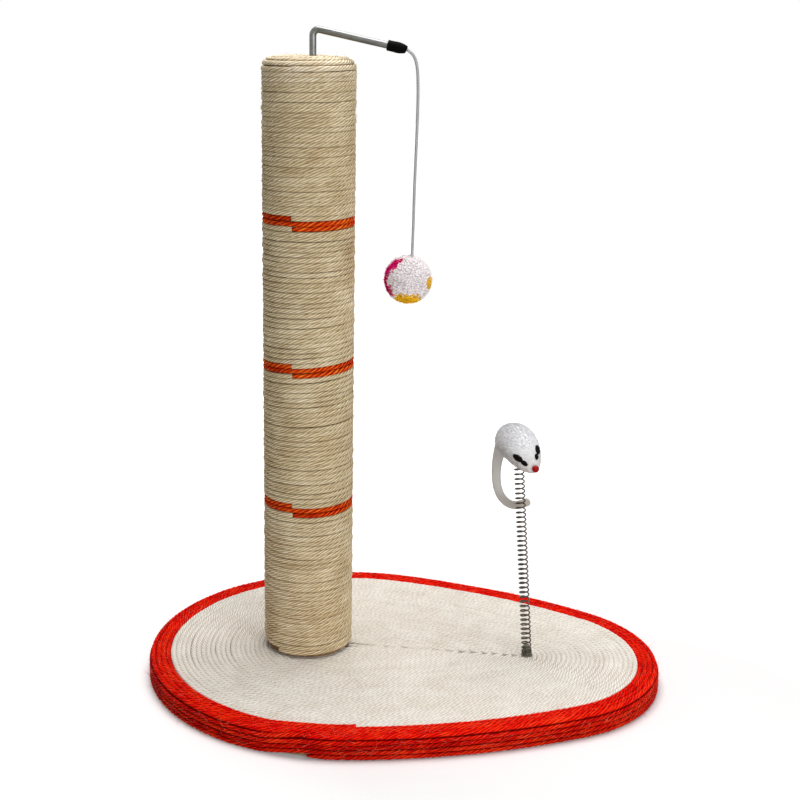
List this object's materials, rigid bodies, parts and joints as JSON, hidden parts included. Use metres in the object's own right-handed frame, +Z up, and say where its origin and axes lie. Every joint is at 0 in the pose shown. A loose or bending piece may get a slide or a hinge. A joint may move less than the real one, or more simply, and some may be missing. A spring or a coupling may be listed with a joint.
{
  "type": "cat scratching post",
  "caption": "Free-standing cat scratching post: rope-wound post on an egg-shaped rope base, with a pompom on a wire arm and a plush mouse on a spring.",
  "frame": {"origin": "middle of the base's bounding box, on the floor under the felt", "axes": "+Z up the post; +X along the base from the post to the spring toy; +Y across the base"},
  "size_m": [0.441, 0.344, 0.5455],
  "materials": {
    "mdf_board": "raw brown board",
    "felt": "thin black felt",
    "white_rope": "off-white twisted rope",
    "red_rope": "bright red twisted rope",
    "sisal": "natural twisted sisal",
    "orange_rope": "orange twisted rope",
    "cardboard": "brown cardboard tube",
    "plug_wood": "turned softwood",
    "zinc_steel": "zinc-grey steel",
    "dark_steel": "dark spring steel",
    "black_plastic": "black moulded plastic",
    "grey_cord": "light grey elastic cord",
    "pompom_yarn": "cut yarn in white, magenta and yellow",
    "thread": "white binding thread",
    "white_plush": "short white plush",
    "black_flock": "black flocked felt",
    "red_bead": "red bead",
    "grey_suede": "soft grey-beige tail band",
    "white_plastic": "white moulded plastic"
  },
  "bodies": {
    "stand": {"base_board": "mdf_board", "underside_felt": "felt", "rim_rope_side": "red_rope", "rim_rope_top": "red_rope", "base_rope_outer": "white_rope", "base_rope_middle": "white_rope", "base_rope_inner": "white_rope", "post_tube": "cardboard", "post_foot_plug": "plug_wood", "threaded_insert": "zinc_steel", "post_bolt": "zinc_steel", "bolt_washer": "zinc_steel", "post_top_plug": "plug_wood", "sisal_section_1": "sisal", "sisal_section_2": "sisal", "sisal_section_3": "sisal", "sisal_section_4": "sisal", "orange_band_1": "orange_rope", "orange_band_2": "orange_rope", "orange_band_3": "orange_rope", "post_top_spiral": "sisal", "spring_peg": "dark_steel", "spring_screw": "zinc_steel"},
    "arm": {"wire_arm": "zinc_steel"},
    "ferrule": {"cord_ferrule": "black_plastic"},
    "pendulum": {"cord": "grey_cord", "pompom": "pompom_yarn", "pompom_tie": "thread"},
    "spring": {"toy_spring": "dark_steel"},
    "mouse": {"mouse_body": "white_plush", "mouse_cup": "white_plastic", "mouse_nose": "red_bead", "mouse_ear_left": "black_flock", "mouse_ear_right": "black_flock", "mouse_eye_left": "black_flock", "mouse_eye_right": "black_flock", "mouse_tail": "grey_suede"}
  },
  "joints": [
    {"name": "arm_swivel", "type": "hinge", "parent": "stand", "child": "arm", "pos_m": [-0.0811, 0, 0.5163], "axis": [0, 0, 1], "continuous": true},
    {"name": "ferrule_roll", "type": "hinge", "parent": "arm", "child": "ferrule", "pos_m": [-0.0062, 0, 0.5286], "axis": [0.9803, 0, -0.1977], "range_deg": [-75, 75]},
    {"name": "cord_swing", "type": "hinge", "parent": "ferrule", "child": "pendulum", "pos_m": [-0.0062, 0, 0.5286], "axis": [0, -1, 0], "range_deg": [-6, 80], "deforming": ["cord"]},
    {"name": "spring_lean", "type": "hinge", "parent": "stand", "child": "spring", "pos_m": [0.10454, 0, 0.06029], "axis": [0, 1, 0], "range_deg": [-40, 40], "stiffness_Nm_per_rad": 0.12, "deforming": ["toy_spring"]},
    {"name": "spring_sway", "type": "hinge", "parent": "spring", "child": "mouse", "pos_m": [0.09702, 0, 0.15796], "axis": [0.9971, 0, 0.0767], "range_deg": [-40, 40], "stiffness_Nm_per_rad": 0.12, "deforming": ["toy_spring"]}
  ]
}
